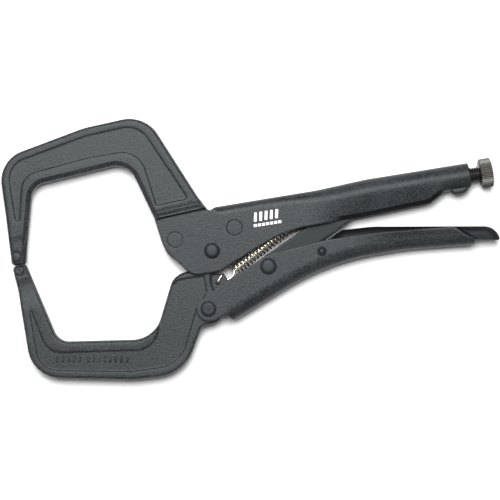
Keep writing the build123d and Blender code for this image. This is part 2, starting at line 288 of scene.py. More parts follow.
# %% [markdown]
# ## Outlines
# Every flat piece of this tool is cut or pressed to an outline of straight runs joined by arcs. An outline
# is given as corners, each with the radius that rounds it. The helper puts in the arcs and then spreads
# points along the runs, so that later steps can bend the sheet anywhere.

# %% Round the corners of an outline
ARC_STEP = 0.16


def unit(vector):
    return vector / np.linalg.norm(vector)


def spread(path, step, closed=True):
    """The same path with extra points, so that no run is longer than step."""
    path = np.asarray(path, float)
    ends = np.roll(path, -1, axis=0) if closed else path[1:]
    points = []
    for start, end in zip(path, ends):
        count = max(1, math.ceil(np.linalg.norm(end - start) / step))
        points += [start + (end - start) * i / count for i in range(count)]
    if not closed:
        points.append(path[-1])
    return np.array(points)


def rounded(corners, step=0.9, closed=True):
    """Outline through (x, y, radius) corners in mm, with an arc at each corner."""
    xy = [np.array(c[:2], float) for c in corners]
    points = []
    for i, (_, _, radius) in enumerate(corners):
        end = not closed and i in (0, len(corners) - 1)
        if radius == 0 or end:
            points.append(xy[i])
            continue
        back = unit(xy[i - 1] - xy[i])
        ahead = unit(xy[(i + 1) % len(xy)] - xy[i])
        half = math.acos(np.clip(back @ ahead, -1, 1)) / 2
        middle = xy[i] + unit(back + ahead) * radius / math.sin(half)
        start = xy[i] + back * radius / math.tan(half) - middle
        sweep = math.pi - 2 * half
        side = np.sign(back[0] * ahead[1] - back[1] * ahead[0])
        count = max(3, math.ceil(sweep / ARC_STEP), math.ceil(sweep * radius / step))
        for turn in np.linspace(0, -side * sweep, count + 1):
            c, s = math.cos(turn), math.sin(turn)
            points.append(middle + np.array((start[0] * c - start[1] * s, start[0] * s + start[1] * c)))
    points = spread(points, step, closed)
    gap = np.linalg.norm(np.roll(points, -1, axis=0) - points, axis=1)
    points = points[gap > 1e-4] if closed else points
    twice_area = np.sum(points[:, 0] * np.roll(points[:, 1], -1) - points[:, 1] * np.roll(points[:, 0], -1))
    return points[::-1] if closed and twice_area < 0 else points


def circle(place, radius, count=48):
    """A round hole's edge."""
    turns = np.arange(count) * 2 * math.pi / count
    return np.array(place[:2]) + radius * np.stack([np.cos(turns), np.sin(turns)], axis=1)


def distance(points, path, closed=True):
    """How far each point is from a path."""
    ends = np.roll(path, -1, axis=0) if closed else path[1:]
    nearest = np.full(len(points), np.inf)
    for start, end in zip(path, ends):
        run = end - start
        share = np.clip((points - start) @ run / max(run @ run, 1e-12), 0, 1)
        nearest = np.minimum(nearest, np.linalg.norm(points - start - share[:, None] * run, axis=1))
    return nearest


def inside(points, loop):
    """Which points a loop encloses."""
    x, y = points.T
    odd = np.zeros(len(points), bool)
    for (x0, y0), (x1, y1) in zip(loop, np.roll(loop, -1, axis=0)):
        if y0 != y1:
            odd ^= ((y0 > y) != (y1 > y)) & (x < (x1 - x0) * (y - y0) / (y1 - y0) + x0)
    return odd


def depth(points, loop):
    """Distance in from a loop, and less than nothing outside it."""
    return np.where(inside(points, loop), 1, -1) * distance(points, loop)


def enclosed(points, loops):
    """Which points lie inside the first loop and outside the others."""
    return inside(points, loops[0]) & ~np.any([inside(points, hole) for hole in loops[1:]], axis=0)


def left_of(path, closed=False):
    """Unit normals on the left of a path, walking along it."""
    along = np.roll(path, -1, axis=0) - np.roll(path, 1, axis=0) if closed else np.gradient(path, axis=0)
    left = np.stack([-along[:, 1], along[:, 0]], axis=1)
    return left / np.linalg.norm(left, axis=1)[:, None]


print("outline helpers are ready")

# %% [markdown]
# ## Sheets of triangles
# A pressed or forged face is flat in the middle and shaped near its edges. So the points go where the shape
# is: rings that follow each edge, and a loose grid between. A Delaunay triangulation joins them, and a
# height formula lifts each point. This gives clean bevels and pockets that booleans would leave ragged.

# %% Fill an outline with triangles
CLEARANCE = 0.93
ROW_HEIGHT = 0.866


def ring(loop, inset):
    """A loop moved inwards, without the points that come too near another stretch of it."""
    inset = np.broadcast_to(inset, len(loop))
    moved = loop + left_of(loop, closed=True) * inset[:, None]
    return moved[distance(moved, loop) > CLEARANCE * np.abs(inset)]


def keep_apart(points, fixed, gap):
    """Points that stay at least a gap from the fixed ones and from each other."""
    cells = {}
    kept = []
    for place, free in [(p, False) for p in fixed] + [(p, True) for p in points]:
        column, row = int(place[0] // gap), int(place[1] // gap)
        near = [q for i in (-1, 0, 1) for j in (-1, 0, 1) for q in cells.get((column + i, row + j), ())]
        if free and any(math.hypot(place[0] - q[0], place[1] - q[1]) < gap for q in near):
            continue
        cells.setdefault((column, row), []).append(place)
        if free:
            kept.append(place)
    return np.array(kept).reshape(-1, 2)


def far_from(points, fixed, gap):
    """The points that are more than a gap from every fixed one."""
    tree = KDTree(len(fixed))
    for i, place in enumerate(fixed):
        tree.insert((*place, 0), i)
    tree.balance()
    return points[[tree.find((*place, 0))[2] > gap for place in points]]


def fill(loops, rings, spacing=2.6, gap=0.16):
    """Flat points and triangles inside the first loop and outside the others."""
    shaped = np.vstack(rings)
    edge = np.vstack(loops)
    shaped = keep_apart(shaped[enclosed(shaped, loops)], edge, gap)
    low, high = loops[0].min(axis=0), loops[0].max(axis=0)
    rows = np.arange(low[1], high[1], spacing * ROW_HEIGHT)
    across, up = np.meshgrid(np.arange(low[0], high[0], spacing), rows)
    across[1::2] += spacing / 2
    grid = np.stack([across.ravel(), up.ravel()], axis=1)
    fixed = np.vstack([edge, shaped])
    grid = far_from(grid[enclosed(grid, loops)], fixed, spacing * 0.6)
    points = np.vstack([fixed, grid])
    edges = []
    first = 0
    for loop in loops:
        edges += [(first + i, first + (i + 1) % len(loop)) for i in range(len(loop))]
        first += len(loop)
    flat, _, faces, *_ = delaunay_2d_cdt([Vector(p) for p in points], edges, [], 1, 1e-6)
    flat = np.array(flat)
    faces = np.array(faces)
    faces = faces[enclosed(flat[faces].mean(axis=1), loops)]
    a, b, c = (flat[faces[:, i]] for i in range(3))
    upside_down = (b - a)[:, 0] * (c - a)[:, 1] - (b - a)[:, 1] * (c - a)[:, 0] < 0
    faces[upside_down] = faces[upside_down][:, ::-1]
    return flat, faces


def smooth(share):
    share = np.clip(share, 0, 1)
    return share * share * (3 - 2 * share)


def ramp(place, start, end):
    """Nothing up to start, one from end on, and a smooth step between. End may be the lower."""
    return smooth((place - start) / (end - start))


def fall(inset, radius):
    """How far a rounded edge lies below its flat, at an inset from the edge."""
    left = np.clip(radius - inset, 0, radius)
    return radius - np.sqrt(np.maximum(radius ** 2 - left ** 2, 0))


print("sheet helpers are ready")

# %% Close a sheet into a solid
TOUCHING = 2e-3
SHEET_BEVEL = 0.45


def rim_edges(faces):
    """Directed edges that only one triangle uses."""
    seen = {(a, b) for f in faces for a, b in zip(f, np.roll(f, -1))}
    return [(a, b) for a, b in seen if (b, a) not in seen]


def both_sides(flat, faces, height, bridge=None):
    """The sheet, its mirror below the middle plane, and walls where bridge(points) says that they join."""
    height = np.where(height < TOUCHING, 0, height)
    count = len(flat)
    points = np.vstack([np.column_stack([flat, height]), np.column_stack([flat, -height])])
    polygons = [tuple(f) for f in faces] + [tuple(f[::-1] + count) for f in faces]
    rim = sorted(rim_edges(faces))
    middles = np.array([(flat[a] + flat[b]) / 2 for a, b in rim])
    joined = np.ones(len(rim), bool) if bridge is None else bridge(middles)
    for (a, b), wall in zip(rim, joined):
        if wall and max(height[a], height[b]) > 0:
            polygons.append((b, a, a + count, b + count))
    points[:, 2] += MIDDLE
    return points, polygons


def weld(points, polygons):
    """Points in mm to a clean bmesh in metres."""
    shape = bmesh.new()
    made = [shape.verts.new(p * MM) for p in points]
    for polygon in polygons:
        shape.faces.new([made[i] for i in polygon])
    bmesh.ops.remove_doubles(shape, verts=shape.verts[:], dist=1e-6)
    bmesh.ops.dissolve_degenerate(shape, edges=shape.edges[:], dist=1e-7)
    loose = [v for v in shape.verts if not v.link_faces]
    bmesh.ops.delete(shape, geom=loose, context="VERTS")
    shape.verts.index_update()
    shape.normal_update()
    return shape


def even(size):
    """The same size at every point."""
    return lambda points: np.full(len(points), size)


def thicken(shape, thickness, bevel=even(SHEET_BEVEL)):
    """Gives an open skin its steel and a rim with rounded edges. Thickness and bevel go by place, in mm."""
    step = {}
    for edge in shape.edges:
        if edge.is_boundary:
            loop = edge.link_loops[0]
            step[loop.vert] = loop.link_loop_next.vert
    before = {b: a for a, b in step.items()}
    outer = list(shape.verts)
    places = np.array([v.co[:2] for v in outer]) / MM
    steel = thickness(places) * MM
    normals = [v.normal.copy() for v in outer]
    starts = [v.co.copy() for v in outer]
    outward = {}
    for v in step:
        run = (step[v].co - v.co).normalized() + (v.co - before[v].co).normalized()
        outward[v] = run.cross(v.normal).normalized()
    round_off = dict(zip(outer, bevel(places) * MM))
    inner = {}
    for v, place, normal, t in zip(outer, starts, normals, steel):
        pull = outward[v] * round_off[v] if v in step else Vector()
        inner[v] = shape.verts.new(place - normal * t - pull)
    rows = {}
    for v, place, normal, t in zip(outer, starts, normals, steel):
        if v not in step:
            continue
        out = outward[v] * round_off[v]
        down = normal * round_off[v]
        soft = 1 - math.sqrt(0.5)
        full = normal * t
        places = [place - out * soft - down * soft, place - down]
        places += [place - full + down, place - out * soft - full + down * soft]
        v.co = place - out
        rows[v] = [v] + [shape.verts.new(p) for p in places] + [inner[v]]
    for face in list(shape.faces):
        shape.faces.new([inner[v] for v in reversed(face.verts)])
    for a, b in step.items():
        for i in range(5):
            shape.faces.new((rows[b][i], rows[a][i], rows[a][i + 1], rows[b][i + 1]))
    shape.normal_update()
    return shape


print("solid helpers are ready")

# %% [markdown]
# ## From shape to piece
# A finished piece sits at the origin with its place in its mesh, and rides on one body of the design model,
# whose own node it then hides. Faces are smooth except across real edges.

# %% Finish a piece
def join(name, shapes, material):
    """One smooth object made of shapes."""
    mesh = bpy.data.meshes.new(name)
    joined = bmesh.new()
    for shape in shapes:
        part = bpy.data.meshes.new("part")
        shape.to_mesh(part)
        joined.from_mesh(part)
        bpy.data.meshes.remove(part)
        shape.free()
    joined.to_mesh(mesh)
    joined.free()
    mesh.shade_smooth()
    mesh.materials.append(material)
    piece = bpy.data.objects.new(name, mesh)
    scene.collection.objects.link(piece)
    return piece


def make_piece(name, shapes, material, body, replaces=(), crease=38.0):
    """Join shapes, sharpen the edges over the crease angle, and hand the piece to a body."""
    piece = join(name, shapes, material)
    piece.data.set_sharp_from_angle(angle=math.radians(crease))
    return hand_over(piece, body, replaces)


def hand_over(piece, body, replaces=()):
    """Ride on a body and hide the design nodes that the piece stands for."""
    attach(piece, body)
    if replaces:
        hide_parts(*replaces)
    size = " x ".join(f"{s:.1f}" for s in np.ptp(piece.bound_box, axis=0) / MM)
    print(f"{piece.name}: {len(piece.data.polygons)} faces, {size} mm, rides on {body}")
    return piece


def turned(profile, middle, axis="z", segments=56):
    """A lathe shape: (radius, height) pairs in mm, spun about an axis through middle."""
    shape = bmesh.new()
    rows = []
    for radius, height in profile:
        turns = [0.0] if radius == 0 else [2 * math.pi * i / segments for i in range(segments)]
        row = []
        for turn in turns:
            x, y = radius * math.cos(turn), radius * math.sin(turn)
            local = (x, y, height) if axis == "z" else (height, x, y)
            row.append(shape.verts.new((np.array(middle) + local) * MM))
        rows.append(row)
    for low, high in zip(rows, rows[1:]):
        for i in range(segments):
            a, b = low[i % len(low)], low[(i + 1) % len(low)]
            c, d = high[(i + 1) % len(high)], high[i % len(high)]
            corners = list(dict.fromkeys((a, b, c, d)))
            if len(corners) > 2:
                shape.faces.new(corners)
    return shape


print("piece helpers are ready")

# %% [markdown]
# ## The upper jaw
# The jaw is one drop forging: a C-shaped arm with a shallow pocket in each face, a raised bead at its
# shoulder, and a thinner tang that goes between the handle's cheeks. Forgings leave the die on a slight
# draft, so the walls lean in a little from the parting line in the middle, and no edge is sharp.

# %% Outlines of the upper jaw
DRAFT = 0.28
ARM_HALF = 5.9
TANG_HALF = OUTSIDE - SHEET
POCKET_DEPTH = 0.8
POCKET_WALL = 0.9
UPPER_JAW = (
    (-137.3, 1.8, 2.2), (-136.2, 30.0, 40.0), (-135.7, 61.8, 18.0), (-85.0, 72.1, 60.0),
    (-50.0, 74.2, 19.0), (-28.4, 24.4, 18.0), (-24.9, 18.0, 0.5), (-24.0, 16.2, 0.5),
    (-19.8, 13.6, 0.5), (-1.0, 13.6, 1.0), (-1.0, -3.0, 3.0), (-14.0, -3.0, 0.5),
    (-14.3, 3.2, 5.0), (-35.4, 3.2, 9.0), (-35.4, -9.5, 0.5), (-46.2, -10.0, 2.5),
    (-50.3, -5.2, 8.0), (-52.2, 1.6, 20.0), (-54.3, 16.0, 1.0), (-63.8, 48.8, 11.5),
    (-118.5, 44.4, 9.0), (-127.2, 10.5, 20.0), (-129.0, 1.8, 1.6),
)
UPPER_POCKET = (
    (-131.4, 25.9, 2.0), (-131.4, 58.4, 13.0), (-85.0, 67.7, 60.0), (-54.0, 69.7, 14.5),
    (-32.6, 22.9, 2.0), (-52.2, 22.0, 1.5), (-56.9, 54.6, 13.0), (-85.0, 54.3, 60.0),
    (-122.6, 50.3, 10.5), (-128.1, 25.9, 1.4),
)
upper_outline = rounded(UPPER_JAW)
upper_pocket = rounded(UPPER_POCKET)
print(f"upper jaw: {len(upper_outline)} points round the outline, {len(upper_pocket)} round the pocket")

# %% Shape of the upper jaw
SHOULDER_X = -70.0
CHEEK_END = (-53.6, 14.0)
CHEEK_SLOPE = 0.0596
BEAD_RISE = 2.5
BEAD_FALL = 1.95
ARM_RISE = 0.35
UPPER_BUTTON = np.array((-133.8, 6.3))
UPPER_STEP = np.array(((-126.0, 18.0), (-127.3, 15.0), (-130.2, 9.8), (-131.0, 7.0), (-131.4, 0.0)))
BUTTON_R = 2.75
STEP_DROP = 1.2
TIP_DROP = 0.4
EDGE_R = 1.9
THROAT_EXTRA = 0.6
THROAT_REACH = 2.5
BEVEL_SLOPE = 0.9
inner_wall = rounded(UPPER_JAW[-5:], closed=False)


def over_cheek(points):
    """Distance past the line where the cheek's front edge ends against the bead."""
    x, y = points.T
    return y - (CHEEK_END[1] + CHEEK_SLOPE * (x - CHEEK_END[0]))


def shoulder(points):
    """Half thickness from the tang over the bead to the arm."""
    v = over_cheek(points)
    level = TANG_HALF + BEAD_RISE * ramp(v, 0.35, 1.35) - BEAD_FALL * ramp(v, 1.7, 4.4)
    level = level + ARM_RISE * ramp(v, 4.4, 5.9)
    return np.where(points[:, 0] < SHOULDER_X, ARM_HALF, level)


def right_of(points, path):
    """Signed distance from an open path, positive on its right when walking down it."""
    runs = np.diff(path, axis=0)
    away = np.full(len(points), np.inf)
    signed = np.zeros(len(points))
    for start, run in zip(path[:-1], runs):
        share = np.clip((points - start) @ run / (run @ run), 0, 1)
        offset = points - start - share[:, None] * run
        length = np.linalg.norm(offset, axis=1)
        side = np.sign(run[1] * offset[:, 0] - run[0] * offset[:, 1])
        signed = np.where(length < away, -side * length, signed)
        away = np.minimum(away, length)
    return signed


def button(points, place, radius=BUTTON_R, rise=0.55):
    """The round pad at a jaw's tip: a low dome with a groove round it."""
    rho = np.linalg.norm(points - place, axis=1)
    dome = rise * np.sqrt(np.clip(1 - (rho / radius) ** 2, 0, 1)) * (rho < radius)
    groove = 0.45 * np.exp(-((rho - radius - 0.25) / 0.3) ** 2)
    return dome - groove


def forged(points, outline, level, radius, bevelled=0.0):
    """Height of a forged face: drafted wall, an edge that is rounded or bevelled, then the level."""
    inset = np.maximum(distance(points, outline), 0) - DRAFT
    bevel = BEVEL_SLOPE * np.clip(radius - inset, 0, radius)
    edge = fall(inset, radius) * (1 - bevelled) + bevel * bevelled
    corner = radius * (1 - bevelled + BEVEL_SLOPE * bevelled)
    return np.where(inset < 0, (level - corner) * (inset + DRAFT) / DRAFT, level - edge)


def inner_share(points):
    """One along the throat, where the edge is a wide bevel and not a round."""
    beyond = distance(points, inner_wall, closed=False) - distance(points, upper_outline)
    return ramp(beyond, THROAT_REACH, 0.0)


def upper_edge(points):
    return EDGE_R + THROAT_EXTRA * inner_share(points)


def upper_jaw_height(points):
    y = points[:, 1]
    level = shoulder(points)
    level = level - POCKET_DEPTH * smooth(depth(points, upper_pocket) / POCKET_WALL)
    tip = ramp(y, 18.5, 14.5) * (points[:, 0] < SHOULDER_X)
    level = level - STEP_DROP * tip * ramp(right_of(points, UPPER_STEP), -0.2, 0.4)
    level = level + button(points, UPPER_BUTTON) - TIP_DROP * tip
    return forged(points, upper_outline, level, upper_edge(points), inner_share(points))


def edge_rings(loop, radius, draft=DRAFT):
    """Rings for a drafted wall and its rounded edge."""
    turns = np.radians((0, 16, 34, 54, 74, 90))
    insets = [radius * (1 - math.cos(t)) for t in turns] + [radius + 0.9]
    return [ring(loop, draft + inset) for inset in insets]


def pocket_rings(loop):
    """Rings that follow the sloping wall of a pocket."""
    return [ring(loop, s) for s in (-0.5, 0.0, 0.18, 0.36, 0.54, 0.72, 0.9, 1.5)]


def button_rings(place):
    """Circles for a tip's pad and its groove."""
    return [circle(place, r, 40) for r in (0.6, 1.2, 1.8, 2.3, 2.6, 2.75, 2.9, 3.1, 3.4, 3.8)]


def step_lines(path):
    """Copies of an open path on both sides of it, for the step that it draws."""
    points = spread(path, 0.7, closed=False)
    return [points + left_of(points) * o for o in (-0.5, -0.2, 0.0, 0.2, 0.4, 0.7)]


def bead_lines():
    """Lines along the bead, closest where its sides are steep."""
    start, end = np.array((-56.0, 13.86)), np.array((-22.0, 15.88))
    heights = (0.1, 0.35, 0.6, 0.85, 1.1, 1.35, 1.7, 2.1, 2.6, 3.1, 3.6, 4.1, 4.5, 5.0, 5.9)
    return [spread([start + (0, v), end + (0, v)], 0.9, closed=False) for v in heights]


rings = edge_rings(upper_outline, upper_edge(upper_outline))
rings += pocket_rings(upper_pocket) + bead_lines()
rings += button_rings(UPPER_BUTTON) + step_lines(UPPER_STEP)
flat, faces = fill([upper_outline], rings)
upper_jaw = weld(*both_sides(flat, faces, upper_jaw_height(flat)))
make_piece("upper_jaw_forging", [upper_jaw], JAW_COAT, "frame", ["upper_jaw"])

# %% [markdown]
# ## The lower jaw
# The second forging swings on the jaw pivot. Its hub fits between the cheeks, a boss carries the lower
# handle, and a thin lug behind holds the spring's hook. Its tip has a round head with a dimple, and the face
# falls away below it.

# %% Outlines of the lower jaw
LOWER_HALF = half_width("lower_jaw")
LUG_HALF = 1.6
HOLE_R = 3.56
SPRING_HOLE = np.array((-24.8, -25.7))
LOWER_JAW = (
    (-137.3, 1.5, 2.2), (-129.2, 1.5, 2.0), (-126.8, -8.5, 30.0), (-118.0, -44.2, 9.0),
    (-64.8, -51.3, 17.0), (-48.9, -18.2, 10.0), (-35.0, -15.6, 3.0), (-35.0, 2.7, 9.9),
    (-14.8, 2.7, 9.9), (-14.8, -17.5, 9.9), (-26.4, -17.5, 1.5), (-28.3, -27.5, 8.0),
    (-22.9, -35.0, 5.0), (-22.9, -48.4, 9.0), (-37.0, -48.4, 4.0), (-51.4, -73.5, 24.0),
    (-80.0, -72.2, 60.0), (-135.9, -61.9, 19.0), (-136.1, -12.0, 40.0),
)
LOWER_POCKET = (
    (-131.8, -24.0, 1.2), (-129.6, -24.0, 0.9), (-124.2, -48.9, 10.5), (-67.0, -56.2, 12.0),
    (-49.6, -19.8, 9.0), (-31.0, -20.0, 1.5), (-31.0, -30.0, 3.0), (-38.0, -38.0, 3.0),
    (-52.4, -68.1, 19.0), (-80.0, -67.7, 60.0), (-131.4, -58.6, 13.0),
)
SPRING_LUG = (
    (-32.0, -20.3, 0.5), (-20.6, -20.9, 1.2), (-18.6, -25.6, 1.8), (-24.0, -30.5, 2.0),
    (-32.0, -30.5, 0.5),
)
lower_outline = rounded(LOWER_JAW)
lower_pocket = rounded(LOWER_POCKET)
lug_outline = rounded(SPRING_LUG, 0.6)
print(f"lower jaw: {len(lower_outline)} points round the outline")

# %% Shape of the lower jaw
LOWER_BUTTON = np.array((-133.6, -1.2))
LOWER_STEP = np.array(((-130.9, 2.0), (-130.7, 0.6), (-128.9, -6.0), (-126.2, -13.6), (-125.6, -17.0)))
LOWER_EDGE_R = 1.6
LUG_EDGE_R = 0.5
NECK_HOLLOW = 1.0
LOWER_STEP_DROP = 0.9
HEAD_DROP = 0.35
DIMPLE = 0.3
DIMPLE_R = 0.75


def lower_jaw_height(points):
    y = points[:, 1]
    arm = points[:, 0] < SHOULDER_X
    level = LOWER_HALF - POCKET_DEPTH * smooth(depth(points, lower_pocket) / POCKET_WALL)
    level = level - arm * NECK_HOLLOW * (ramp(y, -3.6, -10.1) - ramp(y, -12.0, -25.0))
    beside = ramp(y, -17.5, -13.5) * ramp(right_of(points, LOWER_STEP), -0.2, 0.4)
    level = level - arm * LOWER_STEP_DROP * beside
    level = level + button(points, LOWER_BUTTON, rise=0.35) - arm * HEAD_DROP * ramp(y, -6.0, -4.0)
    rho = np.linalg.norm(points - LOWER_BUTTON, axis=1)
    level = level - DIMPLE * np.exp(-(rho / DIMPLE_R) ** 2)
    return forged(points, lower_outline, level, LOWER_EDGE_R)


jaw_pivot = centre("jaw_pivot_rivet")
handle_pivot = centre("handle_pivot_rivet")
holes = [circle(jaw_pivot, HOLE_R), circle(handle_pivot, HOLE_R)]
rings = edge_rings(lower_outline, LOWER_EDGE_R) + pocket_rings(lower_pocket)
rings += button_rings(LOWER_BUTTON) + step_lines(LOWER_STEP)
rings += [circle(LOWER_BUTTON, r, 20) for r in (0.3, 0.9)]
flat, faces = fill([lower_outline, *holes], rings)
lower_arm = weld(*both_sides(flat, faces, lower_jaw_height(flat)))
rings = edge_rings(lug_outline, LUG_EDGE_R, 0.1)
flat, faces = fill([lug_outline, circle(SPRING_HOLE, 1.15, 24)], rings, 1.4)
lug = weld(*both_sides(flat, faces, forged(flat, lug_outline, LUG_HALF, LUG_EDGE_R)))
make_piece("lower_jaw_forging", [lower_arm, lug], JAW_COAT, "moving_jaw", ["lower_jaw"])

# %% [markdown]
# ## The upper handle
# One blank of 2.5 mm steel is folded over into two cheeks and a web. In front the cheeks stay flat and the
# web ends, behind they are rolled round into a grip that is open underneath, and at the end they close to a
# tube for the screw. The skin is a height over the side view, and then gets its steel on the inside.

# %% Outline and bend lines of the upper handle
TUBE_R = 7.1
SCREW_Y = centre("screw_knob")[1]
TUBE_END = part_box("upper_handle")[1].x / MM
WEB_START = -19.4
front_rivet = centre("front_jaw_rivet")
rear_rivet = centre("rear_jaw_rivet")
FLUSH_R = (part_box("rear_jaw_rivet")[1].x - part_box("rear_jaw_rivet")[0].x) / 2 / MM
TUBE_TOP = SCREW_Y + TUBE_R
TUBE_BOTTOM = SCREW_Y - TUBE_R
TOP_LINE = (
    (WEB_START, 16.5, 0.8), (38.0, 16.8, 90.0), (66.0, 18.5, 90.0), (TUBE_END, TUBE_TOP, 0.0),
)
GRIP_LINE = (
    (TUBE_END, TUBE_BOTTOM, 0.0), (109.0, TUBE_BOTTOM, 6.0), (100.0, -0.6, 8.0), (61.0, -2.2, 10.0),
)
FRONT_LINE = (
    (17.5, -2.5, 70.0), (-22.5, -19.4, 13.0), (-38.3, -19.4, 10.0), (-51.0, -2.2, 12.0),
    (-53.6, 14.0, 1.5), (-22.2, 15.2, 0.6),
)
handle_outline = rounded(TOP_LINE + GRIP_LINE + FRONT_LINE)
top_line = rounded(((WEB_START, 16.5, 0),) + TOP_LINE[1:], closed=False)
grip_line = rounded(GRIP_LINE + ((44.0, -2.32, 0.0),), closed=False)
print(f"upper handle: {len(handle_outline)} points, tube ends at {TUBE_END:.1f} mm")

# %% Shape of the upper handle
FRONT_BEND = 4.5
LIP_PROFILE = ((0.0, 1.0), (2.5, 0.03), (2.7, 0.0))
LIP_HALF = 3.4
LEAN = 0.28
LEAN_FROM = 5.0
LEAN_BLEND = 6.0
LIP_THINNING = 1.2
RIVET_EDGES = ((front_rivet, 0.08), (rear_rivet, 0.25))


def top_bend(x):
    """Radius of the bend between cheek and web."""
    grip = ramp(x, 8.0, 58.0)
    front = FRONT_BEND * ramp(x, WEB_START - 2.8, WEB_START + 2.2)
    return front * (1 - grip) + handle_width(x) * grip


def handle_width(x):
    """Half width over the cheeks, down to the tube's radius at the end."""
    return OUTSIDE - (OUTSIDE - TUBE_R) * ramp(x, 94.0, 109.0)


def lean(x, inset):
    """How far the grip's sides lean in below its round top."""
    past = np.clip(inset - LEAN_FROM, 0, None)
    drop = np.where(past < LEAN_BLEND, past ** 2 / 2 / LEAN_BLEND, past - LEAN_BLEND / 2)
    return LEAN * drop * ramp(x, 30.0, 60.0) * ramp(x, 110.0, 100.0)


def upper_handle_height(points):
    x = points[:, 0]
    width = handle_width(x)
    inset = distance(points, top_line, closed=False)
    level = width - fall(inset, top_bend(x)) - lean(x, inset)
    under = distance(points, grip_line, closed=False)
    lip = np.interp(under, *zip(*LIP_PROFILE)) * (level - LIP_HALF) * ramp(x, 43.0, 51.0)
    closing = ramp(x, 104.0, 111.5)
    return level - (1 - closing) * lip - closing * fall(under, width)


def line_rings(line, insets):
    """Rings beside an open line, on its right when walking along it. An inset may be a function of x."""
    made = []
    for inset in insets:
        size = inset(line[:, 0]) if callable(inset) else np.full(len(line), inset)
        moved = line - left_of(line) * size[:, None]
        made.append(moved[distance(moved, line, closed=False) > CLEARANCE * size])
    return made


def bend_rings(line, radius):
    """Rings that follow a bend at even steps of its angle."""
    def share(turn):
        return lambda x: radius(x) * (1 - math.cos(turn))
    turns = np.radians((9, 19, 31, 44, 58, 73, 90))
    return line_rings(line, [share(t) for t in turns] + [lambda x: radius(x) + 1.0])


def clear_of_cuts(rings, cut_points, gap=0.8):
    """Rings without the points that would crowd a cut edge."""
    return [far_from(np.vstack(rings), cut_points, gap)]


def on_line(points, line):
    """Which points lie on a bend line, where the sheet goes over to the other side."""
    return distance(points, line, closed=False) < 0.25


cuts = handle_outline[~on_line(handle_outline, top_line) & ~on_line(handle_outline, grip_line)]
tube_rim = handle_outline[handle_outline[:, 0] > TUBE_END - 0.01]
flush_holes = [circle(front_rivet, FLUSH_R + 0.04), circle(rear_rivet, FLUSH_R + 0.08)]
cuts = np.vstack([cuts, tube_rim, *flush_holes])
rings = bend_rings(top_line, top_bend)
rings += line_rings(grip_line, (0.6, 1.2, 1.8, 2.5, 2.7, 3.4))
tube_bottom = grip_line[grip_line[:, 0] > 100.0]
rings += bend_rings(tube_bottom, handle_width) + [ring(handle_outline, s) for s in (0.9, 2.0)]
rings += [circle(rivet, FLUSH_R + 1.0) for rivet in (front_rivet, rear_rivet)]
flat, faces = fill([handle_outline, *flush_holes], clear_of_cuts(rings, cuts), 2.6, 0.2)


def web_bridge(points):
    return on_line(points, top_line) & (points[:, 0] > WEB_START)


def handle_steel(points):
    """Sheet thickness, thinned where the lip turns in sharply."""
    x = points[:, 0]
    under = distance(points, grip_line[::6], closed=False)
    lip = ramp(under, 4.5, 2.0) * ramp(x, 43.0, 51.0) * ramp(x, 111.5, 104.0)
    return SHEET - LIP_THINNING * lip


def handle_bevel(points):
    """The rivet holes have sharper edges than the sheet, the front one most of all."""
    size = np.full(len(points), SHEET_BEVEL)
    for rivet, edge in RIVET_EDGES:
        size[np.linalg.norm(points - np.array(rivet[:2]), axis=1) < FLUSH_R + 0.5] = edge
    return size


handle_skin = weld(*both_sides(flat, faces, upper_handle_height(flat), web_bridge))
handle_shell = thicken(handle_skin, handle_steel, handle_bevel)
print("sheet folded:", len(handle_shell.faces), "faces")

# %% The lobe and the spring's tongue
TONGUE_HOLE = np.array((24.5, 1.0))
PLATE_WALL = 0.05
LOBE = ((112.0, 6.4, 0.5), (113.4, 1.75, 2.5), (120.2, 1.75, 3.2), (123.8, 5.0, 0.6), (123.8, 6.4, 0.4))
TONGUE = ((21.5, 14.6, 0.3), (27.5, 14.6, 0.3), (27.0, -1.5, 2.4), (22.0, -1.5, 2.4))


def small_plate(corners, half, radius, holes=(), step=0.5, spacing=1.2):
    """A flat plate about the middle plane, with rounded edges."""
    loop = rounded(corners, step)
    flat, faces = fill([loop, *holes], edge_rings(loop, radius, PLATE_WALL), spacing)
    inset = distance(flat, loop)
    wall = (half - radius) * inset / PLATE_WALL
    height = np.where(inset < PLATE_WALL, wall, half - fall(inset - PLATE_WALL, radius))
    return weld(*both_sides(flat, faces, height))


def add_painted_shade(piece, amount):
    """Paints shade on a piece where it lies in shadow. The amount runs from 0 to 1."""
    places = np.array([v.co[:2] for v in piece.data.vertices]) / MM
    piece.data.attributes.new("painted_shade", "FLOAT", "POINT").data.foreach_set("value", amount(places))


def lip_painted_shade(points):
    """Painted shade: full on the lips under the grip, which face away from the light."""
    along = ramp(points[:, 0], 46.0, 50.0) * ramp(points[:, 0], 110.0, 106.0)
    return 0.9 * along * (distance(points, grip_line[::4], closed=False) < 2.6)


lobe = small_plate(LOBE, 3.5, 1.8)
tongue = small_plate(TONGUE, SHEET / 2, 0.4, [circle(TONGUE_HOLE, 1.05, 24)])
parts = [handle_shell, lobe, tongue]
piece = make_piece("upper_handle_shell", parts, HANDLE_COAT, "frame", ["upper_handle"])
# Paint shade on the lips under the grip, which lie in shadow.
add_painted_shade(piece, lip_painted_shade)

# %% [markdown]
# ## The lower handle
# The same steel, folded the other way: the web runs along the bottom in one full round bend, and its front
# end is cut off short of the pivot. The cheeks straddle the lower jaw, the link and the release lever, and
# lean together towards their open edge.

